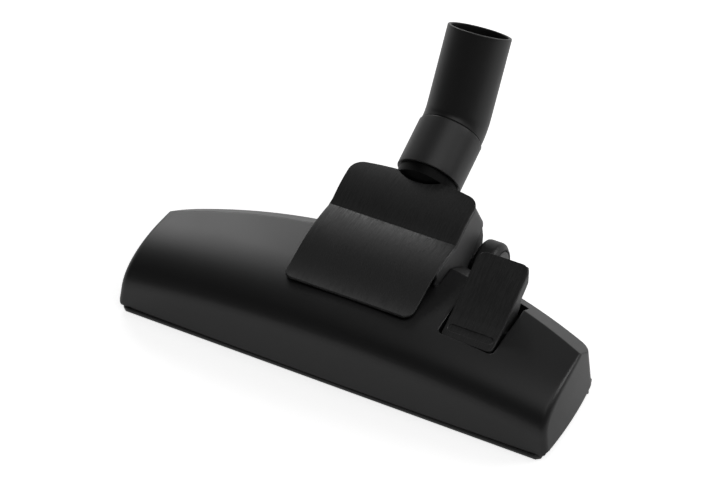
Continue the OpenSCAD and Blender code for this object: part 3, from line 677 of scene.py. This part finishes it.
def remeshed(name, voxel, easing=0, keep=None, blocks=()):
    """A node's solid as an even mesh of small faces, cut to an outline, with blocks added."""
    mesh = frame["nodes"][name].data.copy()
    bm = bmesh.new()
    bm.from_mesh(mesh)
    bmesh.ops.remove_doubles(bm, verts=bm.verts, dist=1e-6)
    bm.to_mesh(mesh)
    bm.free()
    holder = bpy.data.objects.new(name + "_even", mesh)
    scene.collection.objects.link(holder)
    made = [holder]
    if keep is not None:
        cutter = bpy.data.objects.new(name + "_cutter", keep)
        scene.collection.objects.link(cutter)
        made.append(cutter)
        trim = holder.modifiers.new("trim", "BOOLEAN")
        trim.operation = "INTERSECT"
        trim.solver = "EXACT"
        trim.object = cutter
        depsgraph = bpy.context.evaluated_depsgraph_get()
        trimmed = bpy.data.meshes.new_from_object(holder.evaluated_get(depsgraph))
        holder.modifiers.clear()
        holder.data = trimmed
    if blocks:
        bm = bmesh.new()
        bm.from_mesh(holder.data)
        for low, high in blocks:
            low, high = Vector(low) * MM, Vector(high) * MM
            middle, size = (low + high) / 2, high - low
            matrix = Matrix.Translation(middle) @ Matrix.Diagonal((*size, 1.0))
            bmesh.ops.create_cube(bm, size=1.0, matrix=matrix)
        bm.to_mesh(holder.data)
        bm.free()
    even = holder.modifiers.new("even", "REMESH")
    even.mode = "VOXEL"
    even.voxel_size = voxel * MM
    if easing:
        ease = holder.modifiers.new("ease", "SMOOTH")
        ease.factor = 0.5
        ease.iterations = easing
    depsgraph = bpy.context.evaluated_depsgraph_get()
    result = bpy.data.meshes.new_from_object(holder.evaluated_get(depsgraph))
    for item in made:
        bpy.data.objects.remove(item)
    return result


def places(bm):
    return np.array([v.co[:] for v in bm.verts]) / MM


def sculpt(name, field, voxel, band, splits, body, slot, bend=14.0, warp=None):
    """Moves an even mesh onto a rounded form, with smaller faces where the form bends."""
    mesh = remeshed(name, voxel)
    bm = bmesh.new()
    bm.from_mesh(mesh)
    for step in range(splits + 1):
        p = places(bm)
        near = np.abs(field(p)) < band
        if warp and step == 0:
            depth = plain_head(p)
            near |= np.abs(depth) < band
            p = warp(p)
        p[near] = settle(field, p[near])
        if warp and step == 0:
            shallow = (depth < -WALL_SHALLOW) & (depth > -WALL_DEEP) & (field(p) > -WALL) & ~near
            spot = p[shallow]
            p[shallow] = spot - (field(spot) + WALL)[:, None] * slope_of(field, spot)
        for v, place in zip(bm.verts, p * MM):
            v.co = place
        if step == splits:
            break
        normals = np.zeros_like(p)
        normals[near] = slope_of(field, p[near])
        normals /= np.maximum(np.linalg.norm(normals, axis=1), 1e-9)[:, None]
        bm.verts.index_update()
        ends = np.array([(e.verts[0].index, e.verts[1].index) for e in bm.edges])
        a, b = normals[ends[:, 0]], normals[ends[:, 1]]
        bends = (near[ends[:, 0]] & near[ends[:, 1]]) & ((a * b).sum(1) < math.cos(math.radians(bend)))
        faces = {f for e, hit in zip(list(bm.edges), bends) if hit for f in e.link_faces}
        edges = {e for f in faces for e in f.edges}
        bmesh.ops.subdivide_edges(bm, edges=list(edges), cuts=1, use_grid_fill=True)
    bmesh.ops.triangulate(bm, faces=[f for f in bm.faces if len(f.verts) > 4])
    bm.to_mesh(mesh)
    bm.free()
    return fill(name + "_skin", mesh, body, slot, (name,))


def soften(name, voxel, easing, body, slot, keep=None, blocks=()):
    return fill(name + "_skin", remeshed(name, voxel, easing, keep, blocks), body, slot, (name,))


LIP_END, LIP_SHARE = 4.5, 0.8


def make_sole():
    """The sole, with a front lip that stands out less than the solid's."""
    mesh = remeshed("sole_plate", 0.85)
    count = len(mesh.vertices)
    flat = np.empty(count * 3)
    mesh.vertices.foreach_get("co", flat)
    p = flat.reshape(count, 3) / MM
    front = p[:, 1] < LIP_END
    p[front, 1] = LIP_END - (LIP_END - p[front, 1]) * LIP_SHARE
    mesh.vertices.foreach_set("co", (p * MM).ravel())
    fill("sole_skin", mesh, "head", "sole", ("sole_plate",))


def tube_place(s):
    """Centre and sideways direction of the elbow's middle line, at a distance from the collar's foot."""
    turn = min(max((s - BEND_START) / BEND_R, 0.0), BEND)
    over = s - min(s, BEND_START) - turn * BEND_R
    y = BEND_R * (math.cos(turn) - 1) - over * math.sin(turn)
    z = min(s, BEND_START) + BEND_R * math.sin(turn) + over * math.cos(turn)
    centre = COLLAR_BASE - y * NECK_UP + z * NECK_AXIS
    side = -math.cos(turn) * NECK_UP + math.sin(turn) * NECK_AXIS
    return centre, side


def turned(name, profile, place, across, segments, body, slot, replaces):
    """Sweeps a closed outline of (distance, radius) round a middle line."""
    turns = np.linspace(0, 2 * math.pi, segments, endpoint=False)
    rings = []
    for s, radius in profile:
        centre, side = place(s)
        rings.append(centre + radius * (np.cos(turns)[:, None] * across + np.sin(turns)[:, None] * side))
    verts = np.concatenate(rings) * MM
    n, m = len(profile), segments
    faces = [
        (i * m + j, i * m + (j + 1) % m, (i + 1) % n * m + (j + 1) % m, (i + 1) % n * m + j)
        for i in range(n)
        for j in range(m)
    ]
    mesh = bpy.data.meshes.new(name)
    mesh.from_pydata([tuple(v) for v in verts], [], faces)
    bm = bmesh.new()
    bm.from_mesh(mesh)
    bmesh.ops.remove_doubles(bm, verts=bm.verts, dist=1e-6)
    bmesh.ops.recalc_face_normals(bm, faces=bm.faces)
    bm.to_mesh(mesh)
    bm.free()
    return fill(name, mesh, body, slot, replaces)


def divided(profile, longest):
    """Adds points so that no side of an outline is longer than this."""
    out = []
    for a, b in zip(profile, np.roll(profile, -1, 0)):
        n = max(1, math.ceil(np.linalg.norm(b - a) / longest))
        out += [a + (b - a) * i / n for i in range(n)]
    return np.array(out)


X_WAY, Y_WAY, Z_WAY = np.eye(3)
TUBE_STEPS, WHEEL_STEPS = 144, 128
SPIGOT_R, SPIGOT_BORE, RING_ROOM, NECK_BORE, BEND_BORE = 18.2, 14.05, 15.9, 12.0, 15.5


def profile_of(corners, longest):
    """A closed outline from corners given as distance, radius and rounding."""
    return divided(round_corners([c[:2] for c in corners], [c[2] for c in corners]), longest)


def make_elbow():
    end = BEND_START + BEND * BEND_R + TUBE_L
    seat = end - SOCKET_DEPTH
    skin_r = TUBE_R - 0.1
    corners = [
        (32.0, skin_r, 0.3), (end, skin_r, 0.7), (end, SOCKET_R, 0.5), (seat, SOCKET_R, 0),
        (seat, BEND_BORE, 0.2), (BEND_START, BEND_BORE, 0), (BEND_START, NECK_BORE, 0), (31.0, NECK_BORE, 0),
        (31.0, SPIGOT_BORE, 0), (24.6, SPIGOT_BORE, 0), (24.6, RING_ROOM, 0), (22.3, RING_ROOM, 0),
        (22.3, SPIGOT_BORE, 0), (2.0, SPIGOT_BORE, 0), (2.0, SPIGOT_R, 0.3), (32.0, SPIGOT_R, 0),
    ]
    profile = profile_of(corners, 1.5)
    turned("elbow_skin", profile, tube_place, X_WAY, TUBE_STEPS, "swivel", "tube", ("elbow_tube",))


def make_collar():
    corners = [
        (0.0, 14.4, 0), (0.0, 19.9, 0.6), (0.3, 20.3, 0.6), (31.0, 20.3, 0.5), (31.8, 19.5, 0.5),
        (31.8, 18.35, 0), (1.8, 18.35, 0), (1.8, 14.4, 0),
    ]
    profile = profile_of(corners, 4)
    turned("collar_skin", profile, tube_place, X_WAY, TUBE_STEPS, "swivel", "collar", ("collar",))


def make_wheels():
    tread = [
        (0.0, 4.05, 0), (0.0, WHEEL_R - 3.2, 2.5), (1.6, WHEEL_R, 3), (WHEEL_W - 2.6, WHEEL_R, 3.5),
        (WHEEL_W, WHEEL_R - 3.0, 1.6), (WHEEL_W, CAP_R + 1.2, 0.5), (WHEEL_W - CAP_T, CAP_R + 0.3, 0.2),
        (WHEEL_W - CAP_T, 7.0, 0), (WHEEL_W - CAP_T - 2.6, 7.0, 0), (WHEEL_W - CAP_T - 2.6, 4.05, 0),
    ]
    cap = [
        (0.0, 0.01, 0), (0.0, CAP_R, 0), (CAP_T - 0.2, CAP_R, 0.5), (CAP_T, CAP_R - 1.4, 0.6),
        (CAP_T, CAP_R - 3.2, 0.4), (CAP_T - 0.6, CAP_R - 4.4, 0.6), (CAP_T - 0.4, 0.01, 0),
    ]
    for side, word in ((-1, "left"), (1, "right")):
        hub = np.array((side * WHEEL_X, WHEEL_Y, WHEEL_R))
        face = hub + side * (WHEEL_W - CAP_T + 0.02) * X_WAY
        for kind, corners, base in (("wheel", tread, hub), ("hub_cap", cap, face)):
            profile = profile_of(corners, 3)

            def place(s, base=base, side=side):
                return base + side * s * X_WAY, Z_WAY

            name = f"{word}_{kind}"
            turned(name + "_skin", profile, place, Y_WAY, WHEEL_STEPS, word + "_wheel", kind, (name,))


# Tufts: spacing, room at the row's ends, hairs, spread, and a hair's half width at foot and tip
TUFT_STEP, TUFT_END, TUFT_HAIRS, TUFT_R = 2.5, 2.2, 11, 0.85
HAIR_FOOT, HAIR_TIP = 0.13, 0.09


def make_bristles():
    """Rows of tufts, each a bunch of fine hairs that spread a little."""
    draw = np.random.default_rng(7)
    for word, y, half in (("front", 16.0, 113.0), ("rear", 70.0, 98.0)):
        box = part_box(word + "_bristles")
        z0, z1 = box[0][2] / MM, box[1][2] / MM
        verts, faces = [], []
        for row, shift in ((-1.25, 0.0), (1.25, 1.25)):
            for x in np.arange(-half + TUFT_END, half - TUFT_END, TUFT_STEP):
                for _ in range(TUFT_HAIRS):
                    turn = draw.uniform(0, 2 * math.pi)
                    out = TUFT_R * math.sqrt(draw.uniform())
                    foot_x = x + shift + out * math.cos(turn)
                    foot = np.array((foot_x, y + row + out * math.sin(turn) * 0.8, z1))
                    lean = np.array((0.35 * math.cos(turn), 0.2 * math.sin(turn), 0))
                    lean = lean + draw.normal(0, 0.12, 3)
                    tip = foot + lean
                    tip[2] = z0 + draw.uniform(0.0, 0.5)
                    base = len(verts)
                    for end, wide in ((foot, HAIR_FOOT), (tip, HAIR_TIP)):
                        for k in range(4):
                            a = math.pi / 2 * k
                            verts.append((end + (wide * math.cos(a), wide * math.sin(a), 0)) * MM)
                    for k in range(4):
                        after = (k + 1) % 4
                        faces.append((base + k, base + after, base + 4 + after, base + 4 + k))
                    faces.append((base + 3, base + 2, base + 1, base))
                    faces.append((base + 4, base + 5, base + 6, base + 7))
        mesh = bpy.data.meshes.new(word + "_tufts")
        mesh.from_pydata([tuple(v) for v in verts], [], faces)
        fill(word + "_tufts", mesh, "brush", "bristles", (word + "_bristles",))


# Pile: spacing along and across the strip, radius of a tuft, and thickness of the backing
PILE_X, PILE_Y, PILE_R, BACKING_T = 0.6, 0.55, 0.26, 0.5


def make_lint_strips():
    """Short pile on a thin backing, leaning forward."""
    draw = np.random.default_rng(11)
    for word, lean in (("front", -0.35), ("rear", 0.35)):
        low, high = (np.array(c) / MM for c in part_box(word + "_lint_strip"))
        base_z = high[2]
        tip_z = low[2]
        verts = [
            (x, y, z)
            for z in (base_z - BACKING_T, base_z)
            for x in (low[0], high[0])
            for y in (low[1], high[1])
        ]
        faces = [(0, 1, 3, 2), (4, 6, 7, 5), (0, 4, 5, 1), (2, 3, 7, 6), (0, 2, 6, 4), (1, 5, 7, 3)]
        for x in np.arange(low[0] + 0.3, high[0] - 0.3, PILE_X):
            for y in np.arange(low[1] + 0.5, high[1] - 0.4, PILE_Y):
                foot = np.array((x, y, base_z - 0.45)) + (*draw.uniform(-0.15, 0.15, 2), 0)
                tip = foot + (draw.uniform(-0.1, 0.1), lean + draw.uniform(-0.1, 0.1), 0)
                tip[1] = min(max(tip[1], low[1]), high[1])
                tip[2] = tip_z + draw.uniform(0, 0.25)
                base = len(verts)
                for k in range(3):
                    a = 2 * math.pi / 3 * k
                    verts.append(tuple(foot + (PILE_R * math.cos(a), PILE_R * math.sin(a), 0)))
                verts.append(tuple(tip))
                faces += [(base + k, base + (k + 1) % 3, base + 3) for k in range(3)]
                faces.append((base + 2, base + 1, base))
        mesh = bpy.data.meshes.new(word + "_pile")
        mesh.from_pydata([tuple(np.array(v) * MM) for v in verts], [], faces)
        piece = fill(word + "_pile", mesh, "head", "lint_strip", (word + "_lint_strip",))
        piece.data.polygons.foreach_set("use_smooth", [False] * len(mesh.polygons))


make_camera()
make_lamps()
make_world()
make_floor()
dress_nodes()
sculpt("top_shell", shell_field, voxel=1.15, band=0.85, splits=2, body="head", slot="shell", warp=lean_in)
sculpt(
    "joint_cover", cover_field, voxel=0.62, band=0.75, splits=1,
    body="head", slot="brushed_cover", bend=10.0,
)
sculpt("pedal_plate", plate_field, voxel=0.33, band=0.45, splits=1, body="pedal", slot="brushed_cover")
PEDAL_CUT = prism(pedal_plan(1.4), (10.0, 90.0), (0.0, 0.0))
soften("pedal", voxel=0.5, easing=3, body="pedal", slot="pedal", keep=PEDAL_CUT)
# The housing is cut to the cover's outline, and the slit at each side of its front is filled
HOUSING_CUT = prism(cover_plan(0.1), (20.0, 64.2, 80.0), (25.7, 0.0, 0.0))
SLITS = ((39.3, 41.1), (-41.1, -39.3))
GAP_BLOCKS = [((low, 57.3, 41.0), (high, 63.5, 47.6)) for low, high in SLITS]
soften("joint_housing", voxel=0.6, easing=3, body="head", slot="housing", keep=HOUSING_CUT, blocks=GAP_BLOCKS)
make_sole()
make_elbow()
make_collar()
make_wheels()
make_bristles()
make_lint_strips()

scene.view_settings.view_transform = "Standard"
